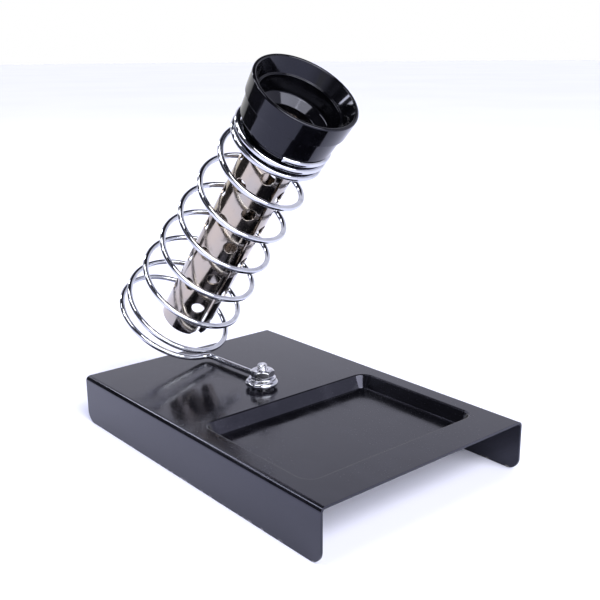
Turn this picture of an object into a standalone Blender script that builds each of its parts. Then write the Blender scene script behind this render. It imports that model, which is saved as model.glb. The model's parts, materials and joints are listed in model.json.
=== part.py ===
"""Soldering iron stand: a folded steel base with a pressed sponge tray, a left-hand wire spring
clamped to it by one screw, and a cup and perforated tube that the spring's top turns hold.

Metres, +Z up. The tray end of the base faces -Y. The origin is the bottom centre of the box
round the whole stand.
"""
import math

import bmesh
import bpy
from mathutils import Matrix, Vector

MM = 0.001

# Clearances between pieces
CONTACT_GAP = 0.15 * MM        # two faces that press together
CUT_PAST = 1.0 * MM            # how far a cutter passes a face it opens

# Base: one folded sheet
BASE_WIDTH = 100.0 * MM
BASE_LENGTH = 151.0 * MM
BASE_HEIGHT = 20.2 * MM
SHEET = 0.9 * MM
FOLD_RADIUS = 2.0 * MM         # outside of the fold
FLANGE_CORNER = 5.0 * MM       # rounded lower corners of the two flanges

# Tray pressed into the base
TRAY_SIDE_MARGIN = 7.75 * MM   # from each side of the base to the tray
TRAY_FRONT_MARGIN = 15.0 * MM
TRAY_REAR_MARGIN = 74.5 * MM   # the top plate behind the tray
TRAY_DEPTH = 5.5 * MM
TRAY_CORNER = 6.0 * MM
TRAY_WALL_ANGLE = math.radians(63.0)   # from level
TRAY_RIM_ROLL = 1.0 * MM       # radius of the rim's rolled edge, on the upper face
TRAY_FLOOR_ROLL = 1.3 * MM     # radius where the wall meets the floor, on the upper face

# Fasteners
SCREW_DIAMETER = 4.2 * MM
SCREW_BEHIND_TRAY = 16.1 * MM  # from the tray's rear edge to the screw
SCREW_END_PROUD = 2.5 * MM     # thread showing above the nut
SCREW_END_CHAMFER = 0.6 * MM
HEAD_DIAMETER = 8.2 * MM
HEAD_HEIGHT = 3.0 * MM
HEAD_ROLL = 1.2 * MM
RECESS_SPAN = 4.4 * MM
RECESS_SLOT = 1.0 * MM
RECESS_DEPTH = 1.7 * MM
SCREW_HOLE_CLEARANCE = 0.2 * MM
NUT_ACROSS_FLATS = 8.7 * MM
NUT_HEIGHT = 3.0 * MM
NUT_CHAMFER = 0.55 * MM
NUT_THREAD_CLEARANCE = 0.1 * MM
NUT_SET = math.radians(20.0)   # where a corner of the tightened nut points, from the swivel's +X
WASHER_DIAMETER = 11.2 * MM
WASHER_THICKNESS = 0.5 * MM
LOCK_WASHER_DIAMETER = 11.6 * MM
LOCK_WASHER_THICKNESS = 0.5 * MM
LOCK_TOOTH_COUNT = 12
LOCK_TOOTH_DEPTH = 1.2 * MM

# Spring: one length of chromed wire
WIRE_DIAMETER = 2.4 * MM
ARM_REACH = 41.5 * MM          # from the screw to the bottom turn
ARM_OFFSET = 3.2 * MM          # the arm lies this far to the side of the screw
BEND_RADIUS = 3.0 * MM
EYE_RADIUS = 5.6 * MM          # to the middle of the wire
EYE_OFFSET = (-1.2 * MM, -0.9 * MM)   # the wire was clamped with its eye this far off the screw
EYE_START = math.radians(120.0)
EYE_END = math.radians(357.0)
COIL_LEAN = math.radians(41.5)
COIL_BOTTOM_RADIUS = 25.0 * MM
COIL_TOP_RADIUS = 18.0 * MM
CLOSED_PITCH = 3.6 * MM
OPEN_PITCH = 18.2 * MM
CLOSED_BOTTOM_TURNS = 0.95
OPEN_TURNS = 5.9
CLOSED_TOP_TURNS = 2.26
PITCH_CHANGE_TURNS = 0.6       # share of a turn over which the pitch opens or closes
TURN_SIDE_LEAN = math.radians(8.0)    # bottom turns, fading to none at the top
TURN_FRONT_LEAN = math.radians(8.0)   # bottom turns, fading to the cup's own lean at the top
STEPS_PER_TURN = 28

# Holder: cup and tube on one axis, which hangs a little steeper than the coil
HOLDER_LEAN = math.radians(38.5)
SWIVEL_SET = math.radians(2.5)  # where the arm is clamped, measured from the base's centre line

# Cup, heights measured along its axis from the shoulder that meets the top turn
CUP_NECK_CLEARANCE = 0.45 * MM
CUP_NECK_LENGTH = 9.5 * MM
CUP_BAND_BOTTOM_RADIUS = 18.7 * MM
CUP_BAND_TOP_RADIUS = 19.4 * MM
CUP_BAND_HEIGHT = 8.7 * MM
CUP_STEP = 0.9 * MM
CUP_RIM_RADIUS = 20.9 * MM
CUP_HEIGHT = 17.0 * MM
CUP_LIP_THICKNESS = 1.4 * MM
CUP_LEDGE_HEIGHT = 11.3 * MM   # ledge inside the mouth, under its flared wall
CUP_LEDGE_RADIUS = 16.9 * MM
CUP_LEDGE_WIDTH = 0.8 * MM
CUP_WELL_RADIUS = 14.8 * MM    # foot of the steep wall below the ledge
CUP_WELL_HEIGHT = 4.5 * MM
CUP_FUNNEL_BOTTOM = 2.0 * MM   # height where the funnel meets the bore
CUP_TUBE_STOP_HEIGHT = -0.5 * MM
CUP_TUBE_STOP_WIDTH = 0.7 * MM

# Tube rolled from perforated sheet
TUBE_RADIUS = 11.0 * MM
TUBE_SHEET = 0.4 * MM
TUBE_BORE_CLEARANCE = 0.3 * MM
TUBE_HANG = 111.0 * MM         # from the cup's shoulder to the tube's lower end
SEAM_GAP = 1.3 * MM
SEAM_ANGLE = math.radians(-12.0)   # from the side that faces the base, towards +X
SEAM_CORNER = 2.2 * MM
HOLE_DIAMETER = 5.6 * MM
HOLE_COLUMNS = 8
HOLE_COLUMN_NEAR_SEAM = math.radians(27.5)
HOLE_PITCH = 19.1 * MM
HOLE_FIRST = 17.3 * MM         # from the cup's shoulder to the first row

# Values that follow from the ones above
SCREW_RADIUS = SCREW_DIAMETER / 2
WIRE_RADIUS = WIRE_DIAMETER / 2
TRAY_FRONT = -BASE_LENGTH / 2 + TRAY_FRONT_MARGIN
TRAY_REAR = BASE_LENGTH / 2 - TRAY_REAR_MARGIN
TRAY_WIDTH = BASE_WIDTH - 2 * TRAY_SIDE_MARGIN
TRAY_LENGTH = TRAY_REAR - TRAY_FRONT
SCREW_Y = TRAY_REAR + SCREW_BEHIND_TRAY
LOCK_WASHER_Z = BASE_HEIGHT + CONTACT_GAP
WIRE_LOW_Z = LOCK_WASHER_Z + LOCK_WASHER_THICKNESS + CONTACT_GAP
ARM_Z = WIRE_LOW_Z + WIRE_RADIUS
WASHER_Z = WIRE_LOW_Z + WIRE_DIAMETER + CONTACT_GAP
NUT_Z = WASHER_Z + WASHER_THICKNESS + CONTACT_GAP
SCREW_END_Z = NUT_Z + NUT_HEIGHT + SCREW_END_PROUD
SCREW_HEAD_Z = BASE_HEIGHT - SHEET - CONTACT_GAP
CUP_BORE_RADIUS = TUBE_RADIUS + TUBE_BORE_CLEARANCE
CUP_NECK_RADIUS = COIL_TOP_RADIUS - WIRE_RADIUS - CUP_NECK_CLEARANCE


def clear_scene():
    for item in list(bpy.data.objects):
        bpy.data.objects.remove(item, do_unlink=True)


def make_collection(name):
    collection = bpy.data.collections.new(name)
    bpy.context.scene.collection.children.link(collection)
    return collection


def make_material(name, color, roughness, metallic):
    material = bpy.data.materials.new(name)
    material.use_nodes = True
    shader = material.node_tree.nodes["Principled BSDF"]
    shader.inputs["Base Color"].default_value = (*color, 1.0)
    shader.inputs["Roughness"].default_value = roughness
    shader.inputs["Metallic"].default_value = metallic
    material.diffuse_color = (*color, 1.0)
    return material


def make_empty(name, location, parent=None, rotation=(0.0, 0.0, 0.0)):
    empty = bpy.data.objects.new(name, None)
    empty.empty_display_size = 10 * MM
    empty.location = location
    empty.rotation_euler = rotation
    empty.parent = parent
    stand.objects.link(empty)
    return empty


def add_part(name, data, material, parent, location=(0.0, 0.0, 0.0)):
    part = bpy.data.objects.new(name, data)
    data.materials.append(material)
    part.location = location
    part.parent = parent
    stand.objects.link(part)
    return part


def add_cutter(name, mesh, parent, location=(0.0, 0.0, 0.0)):
    cutter = bpy.data.objects.new(name, mesh)
    cutter.location = location
    cutter.parent = parent
    cutter.hide_render = True
    cutter.display_type = "WIRE"
    cutters.objects.link(cutter)
    return cutter


def add_boolean(part, cutter, operation):
    boolean = part.modifiers.new(cutter.name, "BOOLEAN")
    boolean.operation = operation
    boolean.solver = "EXACT"
    boolean.object = cutter


def mesh_from_bmesh(name, source):
    mesh = bpy.data.meshes.new(name)
    source.to_mesh(mesh)
    source.free()
    return mesh


def profile_mesh(name, points, closed):
    """An outline of (radius, height) points on the XZ plane, for a Screw modifier."""
    outline = bmesh.new()
    verts = [outline.verts.new((radius, 0.0, height)) for radius, height in points]
    for first, second in zip(verts, verts[1:]):
        outline.edges.new((first, second))
    if closed:
        outline.edges.new((verts[-1], verts[0]))
    return mesh_from_bmesh(name, outline)


def turn_profile(part, steps=64, angle=2 * math.pi):
    screw = part.modifiers.new("Turn", "SCREW")
    screw.angle = angle
    screw.steps = steps
    screw.render_steps = steps
    screw.use_merge_vertices = True
    screw.merge_threshold = 0.00001
    screw.use_smooth_shade = True
    return screw


def arc_points(centre, radius, start, end, steps):
    """Points on an arc, both ends included, as (across, up) pairs."""
    points = []
    for step in range(steps + 1):
        angle = start + (end - start) * step / steps
        points.append((centre[0] + radius * math.cos(angle), centre[1] + radius * math.sin(angle)))
    return points


def extrude_outline(name, points, axis, low, high):
    """A closed prism: points lie across the axis, which runs from low to high."""
    prism = bmesh.new()
    if axis == "Y":
        verts = [prism.verts.new((a, low, b)) for a, b in points]
        step = Vector((0.0, high - low, 0.0))
    elif axis == "X":
        verts = [prism.verts.new((low, a, b)) for a, b in points]
        step = Vector((high - low, 0.0, 0.0))
    else:
        verts = [prism.verts.new((a, b, low)) for a, b in points]
        step = Vector((0.0, 0.0, high - low))
    face = prism.faces.new(verts)
    grown = bmesh.ops.extrude_face_region(prism, geom=[face])
    moved = [item for item in grown["geom"] if isinstance(item, bmesh.types.BMVert)]
    bmesh.ops.translate(prism, verts=moved, vec=step)
    bmesh.ops.recalc_face_normals(prism, faces=prism.faces)
    return mesh_from_bmesh(name, prism)


def cylinder_mesh(name, radius, low, high, sides):
    """A closed cylinder, or a hexagon bar with six sides, standing from low to high."""
    cylinder = bmesh.new()
    place = Matrix.Translation((0.0, 0.0, (low + high) / 2))
    bmesh.ops.create_cone(cylinder, cap_ends=True, segments=sides, radius1=radius, radius2=radius,
                          depth=high - low, matrix=place)
    return mesh_from_bmesh(name, cylinder)


def rounded_rectangle(half_x, half_y, radius, steps):
    points = []
    corners = ((1, 1), (-1, 1), (-1, -1), (1, -1))
    for quarter, (sign_x, sign_y) in enumerate(corners):
        centre = (sign_x * (half_x - radius), sign_y * (half_y - radius))
        start = quarter * math.pi / 2
        points += arc_points(centre, radius, start, start + math.pi / 2, steps)
    return points


def loft_rounded_rectangles(name, levels, steps=6):
    """A closed loft of rounded rectangles: levels are (height, half_x, half_y, corner radius)."""
    loft = bmesh.new()
    rings = []
    for height, half_x, half_y, radius in levels:
        outline = rounded_rectangle(half_x, half_y, radius, steps)
        rings.append([loft.verts.new((x, y, height)) for x, y in outline])
    for lower, upper in zip(rings, rings[1:]):
        for index in range(len(lower)):
            after = (index + 1) % len(lower)
            loft.faces.new((lower[index], lower[after], upper[after], upper[index]))
    loft.faces.new(rings[0])
    loft.faces.new(rings[-1])
    bmesh.ops.recalc_face_normals(loft, faces=loft.faces)
    return mesh_from_bmesh(name, loft)


def channel_section():
    """The folded sheet's section: outside up, over and down, then back along the inside."""
    half = BASE_WIDTH / 2
    inner_fold = FOLD_RADIUS - SHEET
    low_fold = BASE_HEIGHT - FOLD_RADIUS
    left = (-half + FOLD_RADIUS, low_fold)
    right = (half - FOLD_RADIUS, low_fold)
    points = [(-half, 0.0)]
    points += arc_points(left, FOLD_RADIUS, math.pi, math.pi / 2, 6)
    points += arc_points(right, FOLD_RADIUS, math.pi / 2, 0.0, 6)
    points += [(half, 0.0), (half - SHEET, 0.0)]
    points += arc_points(right, inner_fold, 0.0, math.pi / 2, 6)
    points += arc_points(left, inner_fold, math.pi / 2, math.pi, 6)
    points.append((-half + SHEET, 0.0))
    return points


def side_outline():
    """The base seen from the side: flanges with two rounded lower corners."""
    half = BASE_LENGTH / 2
    above = BASE_HEIGHT + CUT_PAST
    points = [(half, above), (-half, above)]
    points += arc_points((-half + FLANGE_CORNER, FLANGE_CORNER), FLANGE_CORNER, math.pi, 1.5 * math.pi, 8)
    points += arc_points((half - FLANGE_CORNER, FLANGE_CORNER), FLANGE_CORNER, 1.5 * math.pi, 2 * math.pi, 8)
    return points


def tray_levels(below, top):
    """Rounded rectangles of the pressed wall, from its floor up to top. below is how far the
    surface lies under the sheet's upper face: 0 for that face, SHEET for the underside."""
    fall = TRAY_DEPTH - (TRAY_RIM_ROLL + TRAY_FLOOR_ROLL) * (1 - math.cos(TRAY_WALL_ANGLE))
    lean = fall / math.tan(TRAY_WALL_ANGLE)
    floor_inset = lean + (TRAY_RIM_ROLL + TRAY_FLOOR_ROLL) * math.sin(TRAY_WALL_ANGLE)
    rim_radius = TRAY_RIM_ROLL - below
    floor_radius = TRAY_FLOOR_ROLL + below
    places = []
    for step in range(5):
        angle = TRAY_WALL_ANGLE * step / 4
        height = -TRAY_DEPTH + TRAY_FLOOR_ROLL - floor_radius * math.cos(angle)
        places.append((height, floor_inset - floor_radius * math.sin(angle)))
    for step in range(5):
        angle = TRAY_WALL_ANGLE * (4 - step) / 4
        height = -TRAY_RIM_ROLL + rim_radius * math.cos(angle)
        places.append((height, rim_radius * math.sin(angle)))
    places.append((top, 0.0))
    levels = []
    for height, inset in places:
        corner = max(TRAY_CORNER - inset, 0.1 * TRAY_CORNER)
        levels.append((height, TRAY_WIDTH / 2 - inset, TRAY_LENGTH / 2 - inset, corner))
    return levels


def build_base_plate():
    section = extrude_outline("base_plate", channel_section(), "Y", -BASE_LENGTH / 2, BASE_LENGTH / 2)
    plate = add_part("base_plate", section, black_paint, base_frame)
    outline = extrude_outline("flange_outline", side_outline(), "X", -BASE_WIDTH, BASE_WIDTH)
    add_boolean(plate, add_cutter("flange_outline", outline, base_frame), "INTERSECT")
    tray_place = (0.0, (TRAY_FRONT + TRAY_REAR) / 2, BASE_HEIGHT)
    under = loft_rounded_rectangles("tray_underside", tray_levels(SHEET, -SHEET / 2))
    add_boolean(plate, add_cutter("tray_underside", under, base_frame, tray_place), "UNION")
    hollow = loft_rounded_rectangles("tray_hollow", tray_levels(0.0, CUT_PAST))
    add_boolean(plate, add_cutter("tray_hollow", hollow, base_frame, tray_place), "DIFFERENCE")
    hole_radius = SCREW_RADIUS + SCREW_HOLE_CLEARANCE
    hole = cylinder_mesh("screw_hole", hole_radius, -SHEET - CUT_PAST, CUT_PAST, 32)
    add_boolean(plate, add_cutter("screw_hole", hole, base_frame, (0.0, SCREW_Y, BASE_HEIGHT)), "DIFFERENCE")


def build_clamp_screw():
    head_radius = HEAD_DIAMETER / 2
    under_head = SCREW_HEAD_Z
    head_low = under_head - HEAD_HEIGHT
    points = [(0.0, SCREW_END_Z), (SCREW_RADIUS - SCREW_END_CHAMFER, SCREW_END_Z)]
    points += [(SCREW_RADIUS, SCREW_END_Z - SCREW_END_CHAMFER), (SCREW_RADIUS, under_head)]
    points += [(head_radius, under_head)]
    roll_centre = (head_radius - HEAD_ROLL, head_low + HEAD_ROLL)
    points += arc_points(roll_centre, HEAD_ROLL, 0.0, -math.pi / 2, 5)
    points.append((0.0, head_low))
    outline = profile_mesh("clamp_screw", points, closed=False)
    screw = add_part("clamp_screw", outline, plated_steel, swivel_axis)
    turn_profile(screw, steps=32)
    half_slot = RECESS_SLOT / 2
    half_span = RECESS_SPAN / 2
    cross = []
    for quarter in range(4):
        turn = Matrix.Rotation(quarter * math.pi / 2, 2)
        for corner in ((half_span, -half_slot), (half_span, half_slot), (half_slot, half_slot)):
            cross.append(tuple(turn @ Vector(corner)))
    recess = extrude_outline("cross_recess", cross, "Z", head_low - CUT_PAST, head_low + RECESS_DEPTH)
    add_boolean(screw, add_cutter("cross_recess", recess, swivel_axis), "DIFFERENCE")


def build_lock_washer():
    outer = LOCK_WASHER_DIAMETER / 2
    root = outer - LOCK_TOOTH_DEPTH
    tooth = 2 * math.pi / LOCK_TOOTH_COUNT
    outline = []
    for index in range(LOCK_TOOTH_COUNT):
        for share, radius in ((0.0, root), (0.2, outer), (0.6, outer), (0.75, root)):
            angle = tooth * (index + share)
            outline.append((radius * math.cos(angle), radius * math.sin(angle)))
    blank = extrude_outline("lock_washer", outline, "Z", 0.0, LOCK_WASHER_THICKNESS)
    washer = add_part("lock_washer", blank, plated_steel, swivel_axis, (0.0, 0.0, LOCK_WASHER_Z))
    hole_radius = SCREW_RADIUS + SCREW_HOLE_CLEARANCE
    bore = cylinder_mesh("lock_washer_bore", hole_radius, -CUT_PAST, LOCK_WASHER_THICKNESS + CUT_PAST, 32)
    bore_cutter = add_cutter("lock_washer_bore", bore, swivel_axis, (0.0, 0.0, LOCK_WASHER_Z))
    add_boolean(washer, bore_cutter, "DIFFERENCE")


def build_flat_washer():
    inner = SCREW_RADIUS + SCREW_HOLE_CLEARANCE
    outer = WASHER_DIAMETER / 2
    section = [(inner, WASHER_THICKNESS), (outer, WASHER_THICKNESS), (outer, 0.0), (inner, 0.0)]
    outline = profile_mesh("flat_washer", section, closed=True)
    washer = add_part("flat_washer", outline, plated_steel, swivel_axis, (0.0, 0.0, WASHER_Z))
    turn_profile(washer, steps=40)


def build_clamp_nut():
    corner_radius = NUT_ACROSS_FLATS / 2 / math.cos(math.pi / 6)
    blank = cylinder_mesh("clamp_nut", corner_radius, 0.0, NUT_HEIGHT, 6)
    nut = add_part("clamp_nut", blank, plated_steel, swivel_axis, (0.0, 0.0, NUT_Z))
    nut.rotation_euler = (0.0, 0.0, NUT_SET)
    flat_radius = NUT_ACROSS_FLATS / 2
    wide = corner_radius + CUT_PAST
    widening = NUT_CHAMFER * (wide - flat_radius) / (corner_radius - flat_radius)
    bore = SCREW_RADIUS + NUT_THREAD_CLEARANCE
    section = [(bore, NUT_HEIGHT), (flat_radius, NUT_HEIGHT), (wide, NUT_HEIGHT - widening)]
    section += [(wide, widening), (flat_radius, 0.0), (bore, 0.0)]
    shape = add_cutter("nut_turning", profile_mesh("nut_turning", section, closed=True), swivel_axis,
                       (0.0, 0.0, NUT_Z))
    turn_profile(shape, steps=48)
    add_boolean(nut, shape, "INTERSECT")


def smooth_step(value):
    share = min(max(value, 0.0), 1.0)
    return share * share * (3 - 2 * share)


def coil_path():
    """Middle of the wire, from its top end down the coil, and the middle of its top turn.

    It is worked out upwards from the lowest point, which lies ARM_REACH behind the screw.
    """
    along = Vector((0.0, -math.sin(COIL_LEAN), math.cos(COIL_LEAN)))
    front = Vector((0.0, -math.cos(COIL_LEAN), -math.sin(COIL_LEAN)))
    side = Vector((-1.0, 0.0, 0.0))
    turns = CLOSED_BOTTOM_TURNS + OPEN_TURNS + CLOSED_TOP_TURNS
    steps = round(turns * STEPS_PER_TURN)
    heights = [0.0]
    for step in range(steps):
        turn = turns * (step + 0.5) / steps
        opening = smooth_step((turn - CLOSED_BOTTOM_TURNS) / PITCH_CHANGE_TURNS + 0.5)
        closing = smooth_step((turn - CLOSED_BOTTOM_TURNS - OPEN_TURNS) / PITCH_CHANGE_TURNS + 0.5)
        pitch = CLOSED_PITCH + (OPEN_PITCH - CLOSED_PITCH) * (opening - closing)
        heights.append(heights[-1] + pitch * turns / steps)
    taper_height = heights[-1] - CLOSED_PITCH * CLOSED_TOP_TURNS
    top_lean = COIL_LEAN - HOLDER_LEAN
    lowest = COIL_BOTTOM_RADIUS * (front + math.tan(TURN_FRONT_LEAN) * along)
    middle = Vector((0.0, ARM_REACH, ARM_Z)) - lowest
    points = []
    for step in range(steps + 1):
        angle = 2 * math.pi * turns * step / steps
        share = min(heights[step] / taper_height, 1.0)
        radius = COIL_BOTTOM_RADIUS + (COIL_TOP_RADIUS - COIL_BOTTOM_RADIUS) * share
        front_rise = math.tan(TURN_FRONT_LEAN + (top_lean - TURN_FRONT_LEAN) * share)
        side_rise = math.tan(TURN_SIDE_LEAN * (1 - share))
        rise = front_rise * math.cos(angle) + side_rise * math.sin(angle)
        ring = front * math.cos(angle) + side * math.sin(angle) + along * rise
        points.append(middle + along * heights[step] + ring * radius)
    points.reverse()
    return points, middle + along * heights[-1]


def filleted(corners, radius, steps=8):
    """The open line through corners, each inner corner rounded to radius."""
    points = [corners[0]]
    for before, corner, after in zip(corners, corners[1:], corners[2:]):
        back = (before - corner).normalized()
        ahead = (after - corner).normalized()
        half = back.angle(ahead) / 2
        centre = corner + (back + ahead).normalized() * radius / math.sin(half)
        start = corner + back * radius / math.tan(half) - centre
        end = corner + ahead * radius / math.tan(half) - centre
        sweep = start.angle(end)
        for step in range(steps + 1):
            share = step / steps
            first = math.sin((1 - share) * sweep) / math.sin(sweep)
            second = math.sin(share * sweep) / math.sin(sweep)
            points.append(centre + start * first + end * second)
    points.append(corners[-1])
    return points


def arm_path(coil_end):
    """From the coil's end along the arm and three quarters round the screw."""
    eye = arc_points(EYE_OFFSET, EYE_RADIUS, EYE_START, EYE_END, 28)
    eye_start = Vector((*eye[0], ARM_Z))
    heading = Vector((-math.sin(EYE_START), math.cos(EYE_START), 0.0))
    reach = (ARM_OFFSET - eye_start.x) / heading.x
    corners = [
        coil_end,
        Vector((ARM_OFFSET, ARM_REACH, ARM_Z)),
        eye_start + heading * reach,
        eye_start,
    ]
    points = filleted(corners, BEND_RADIUS)[1:-1]
    for across, along in eye:
        points.append(Vector((across, along, ARM_Z)))
    return points


def build_spring():
    coil, _ = coil_path()
    route = coil + arm_path(coil[-1])
    curve = bpy.data.curves.new("spring", "CURVE")
    curve.dimensions = "3D"
    curve.bevel_depth = WIRE_RADIUS
    curve.bevel_resolution = 2
    curve.use_fill_caps = True
    spline = curve.splines.new("POLY")
    spline.points.add(len(route) - 1)
    for point, place in zip(spline.points, route):
        point.co = (*place, 1.0)
    add_part("spring", curve, chromed_wire, swivel_axis)


def build_cup():
    """Turned section, from the bore's lower end up the inside, over the lip and down the outside."""
    lip = CUP_LIP_THICKNESS / 2
    mouth_radius = CUP_RIM_RADIUS - CUP_LIP_THICKNESS
    stop_radius = CUP_BORE_RADIUS - CUP_TUBE_STOP_WIDTH
    outside = [
        (CUP_RIM_RADIUS, CUP_HEIGHT - lip),
        (CUP_BAND_TOP_RADIUS + CUP_STEP, CUP_BAND_HEIGHT),
        (CUP_BAND_TOP_RADIUS, CUP_BAND_HEIGHT),
        (CUP_BAND_BOTTOM_RADIUS, 0.0),
        (CUP_NECK_RADIUS, 0.0),
        (CUP_NECK_RADIUS, -CUP_NECK_LENGTH),
    ]
    inside = [
        (CUP_BORE_RADIUS, -CUP_NECK_LENGTH),
        (CUP_BORE_RADIUS, CUP_TUBE_STOP_HEIGHT),
        (stop_radius, CUP_TUBE_STOP_HEIGHT),
        (stop_radius, CUP_FUNNEL_BOTTOM),
        (CUP_WELL_RADIUS, CUP_WELL_HEIGHT),
        (CUP_LEDGE_RADIUS - CUP_LEDGE_WIDTH, CUP_LEDGE_HEIGHT),
        (CUP_LEDGE_RADIUS, CUP_LEDGE_HEIGHT),
        (mouth_radius, CUP_HEIGHT - lip),
    ]
    rim = arc_points((CUP_RIM_RADIUS - lip, CUP_HEIGHT - lip), lip, math.pi, 0.0, 8)[1:-1]
    outline = profile_mesh("cup", inside + rim + outside, closed=True)
    cup = add_part("cup", outline, phenolic, holder_axis)
    turn_profile(cup, steps=72)


def build_perforated_tube():
    """An open-seamed tube: a line turned through less than a circle and given the sheet's
    thickness, with its holes and the corners of its seam cut out."""
    top = CUP_TUBE_STOP_HEIGHT - CONTACT_GAP
    seam_half = SEAM_GAP / 2 / TUBE_RADIUS
    base_side = -math.pi / 2
    outline = profile_mesh("perforated_tube", [(TUBE_RADIUS, top), (TUBE_RADIUS, -TUBE_HANG)], closed=False)
    tube = add_part("perforated_tube", outline, nickelled_steel, holder_axis)
    tube.rotation_euler = (0.0, 0.0, base_side + SEAM_ANGLE + seam_half)
    turn_profile(tube, steps=72, angle=2 * math.pi - 2 * seam_half)
    sheet = tube.modifiers.new("Sheet", "SOLIDIFY")
    sheet.thickness = TUBE_SHEET
    sheet.offset = -1.0
    punches = bmesh.new()
    spread = 2 * math.pi - 2 * HOLE_COLUMN_NEAR_SEAM
    last_row = TUBE_HANG - HOLE_DIAMETER * 2
    for column in range(HOLE_COLUMNS):
        angle = HOLE_COLUMN_NEAR_SEAM - seam_half + spread * column / (HOLE_COLUMNS - 1)
        outward = Vector((math.cos(angle), math.sin(angle), 0.0))
        drop = HOLE_FIRST + HOLE_PITCH / 2 * ((column + 1) % 2)
        while drop < last_row:
            centre = outward * TUBE_RADIUS - Vector((0.0, 0.0, drop))
            turn = outward.to_track_quat("Z", "Y").to_matrix().to_4x4()
            place = Matrix.Translation(centre) @ turn
            bmesh.ops.create_cone(punches, cap_ends=True, segments=20, radius1=HOLE_DIAMETER / 2,
                                  radius2=HOLE_DIAMETER / 2, depth=4 * TUBE_SHEET + 2 * CUT_PAST, matrix=place)
            drop += HOLE_PITCH
    holes = add_cutter("tube_holes", mesh_from_bmesh("tube_holes", punches), tube)
    add_boolean(tube, holes, "DIFFERENCE")
    snip = math.sqrt(2.0) * SEAM_CORNER
    corner = [(snip / 2, snip / 2), (-snip / 2, snip / 2), (-snip / 2, -snip / 2), (snip / 2, -snip / 2)]
    diamond = [tuple(Matrix.Rotation(math.pi / 4, 2) @ Vector(point)) for point in corner]
    inner = TUBE_RADIUS - 2 * CUT_PAST
    snips = extrude_outline("seam_corners", diamond, "X", inner, TUBE_RADIUS + CUT_PAST)
    snip_cutter = add_cutter("seam_corners", snips, tube, (0.0, 0.0, -TUBE_HANG))
    snip_cutter.rotation_euler = (0.0, 0.0, -seam_half)
    add_boolean(tube, snip_cutter, "DIFFERENCE")


def settle_origin():
    """Move the whole stand so that the bottom centre of its box is at the origin."""
    bpy.context.view_layer.update()
    graph = bpy.context.evaluated_depsgraph_get()
    lowest = Vector((math.inf, math.inf, math.inf))
    highest = -lowest
    for part in stand.objects:
        if part.type == "EMPTY":
            continue
        evaluated = part.evaluated_get(graph)
        mesh = evaluated.to_mesh()
        for vertex in mesh.vertices:
            place = evaluated.matrix_world @ vertex.co
            lowest = Vector(map(min, lowest, place))
            highest = Vector(map(max, highest, place))
        evaluated.to_mesh_clear()
    base_frame.location -= Vector(((lowest.x + highest.x) / 2, (lowest.y + highest.y) / 2, lowest.z))
    bpy.context.view_layer.update()


clear_scene()
stand = make_collection("soldering_iron_stand")
cutters = make_collection("cutters")

black_paint = make_material("black_paint", (0.02, 0.02, 0.023), 0.22, 0.0)
plated_steel = make_material("plated_steel", (0.72, 0.72, 0.72), 0.2, 1.0)
chromed_wire = make_material("chromed_wire", (0.8, 0.8, 0.81), 0.08, 1.0)
nickelled_steel = make_material("nickelled_steel", (0.62, 0.6, 0.57), 0.15, 1.0)
phenolic = make_material("phenolic", (0.012, 0.012, 0.014), 0.12, 0.0)

base_frame = make_empty("base_frame", (0.0, 0.0, 0.0))
swivel_axis = make_empty("swivel_axis", (0.0, SCREW_Y, 0.0), base_frame, (0.0, 0.0, SWIVEL_SET))
_, top_turn_middle = coil_path()
holder_along = Vector((0.0, -math.sin(HOLDER_LEAN), math.cos(HOLDER_LEAN)))
shoulder = top_turn_middle + holder_along * (WIRE_RADIUS + CONTACT_GAP)
holder_axis = make_empty("holder_axis", shoulder, swivel_axis, (HOLDER_LEAN, 0.0, 0.0))

build_base_plate()
build_clamp_screw()
build_lock_washer()
build_flat_washer()
build_clamp_nut()
build_spring()
build_cup()
build_perforated_tube()
settle_origin()
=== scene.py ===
import json
import math

import bmesh
import bpy
from mathutils import Matrix, Vector
from mathutils.geometry import delaunay_2d_cdt, tessellate_polygon


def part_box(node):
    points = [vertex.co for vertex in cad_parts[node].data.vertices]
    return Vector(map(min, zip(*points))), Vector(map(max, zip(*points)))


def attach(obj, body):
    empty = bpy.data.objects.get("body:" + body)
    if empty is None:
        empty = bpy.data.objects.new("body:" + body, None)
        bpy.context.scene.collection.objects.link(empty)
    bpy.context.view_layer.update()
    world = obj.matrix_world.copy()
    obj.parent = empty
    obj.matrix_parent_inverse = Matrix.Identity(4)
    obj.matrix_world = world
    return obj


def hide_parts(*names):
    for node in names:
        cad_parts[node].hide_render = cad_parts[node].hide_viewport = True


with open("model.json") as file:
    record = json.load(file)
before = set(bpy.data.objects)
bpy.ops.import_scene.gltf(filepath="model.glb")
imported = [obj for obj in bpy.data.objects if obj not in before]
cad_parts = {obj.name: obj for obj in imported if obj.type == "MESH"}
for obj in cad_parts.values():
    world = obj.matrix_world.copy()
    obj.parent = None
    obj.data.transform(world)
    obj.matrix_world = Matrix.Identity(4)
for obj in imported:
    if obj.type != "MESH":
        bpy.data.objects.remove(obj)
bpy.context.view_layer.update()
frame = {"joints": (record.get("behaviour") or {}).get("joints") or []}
MM = 0.001


# ---------------------------------------------------------------- camera
# A long-lens view of the stand's near corner, from a little above the cup.
CAMERA_AT = Vector((-210.291, -269.196, 153.463)) * MM
CAMERA_YAW = math.radians(40.141)
CAMERA_PITCH = math.radians(15.677)
CAMERA_ROLL = math.radians(-0.436)
CAMERA_LENS = 53.445             # millimetres, as is the sensor
SENSOR_WIDTH = 36.0
CAMERA_NEAR = 10.0 * MM

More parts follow.
